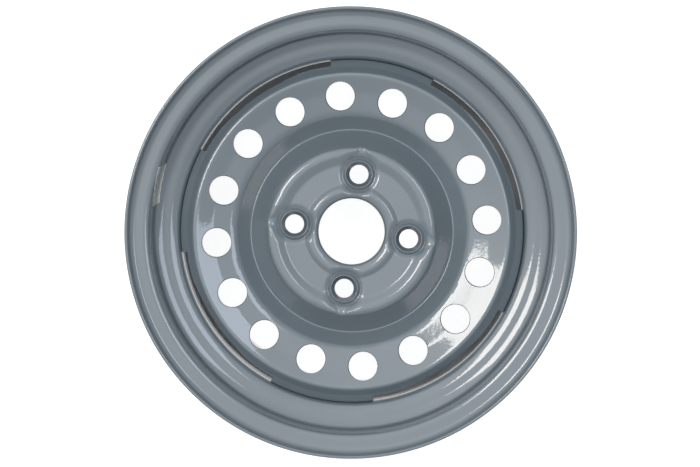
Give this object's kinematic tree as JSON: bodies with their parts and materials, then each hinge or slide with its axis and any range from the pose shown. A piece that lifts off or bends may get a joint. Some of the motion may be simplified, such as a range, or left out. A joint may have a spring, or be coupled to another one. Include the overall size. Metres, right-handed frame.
{
  "type": "steel wheel",
  "caption": "Pressed steel road wheel: a drop-centre rim that seats a tubeless tyre, and a vented disc with a centre bore and conical nut seats, welded in at its skirt.",
  "frame": {"origin": "on the wheel's axis, in the plane where the disc's pads sit on the hub", "axes": "+Z along the wheel's axis to the outboard side, +X through the middle of a stud hole"},
  "size_m": [0.3898, 0.3896, 0.1647],
  "materials": {
    "enamel": "gloss stoving enamel",
    "paper": "matt"
  },
  "bodies": {
    "root": {"rim": "enamel", "disc": "enamel", "weld_1": "enamel", "weld_2": "enamel", "weld_3": "enamel", "weld_4": "enamel", "label": "paper"}
  },
  "joints": []
}
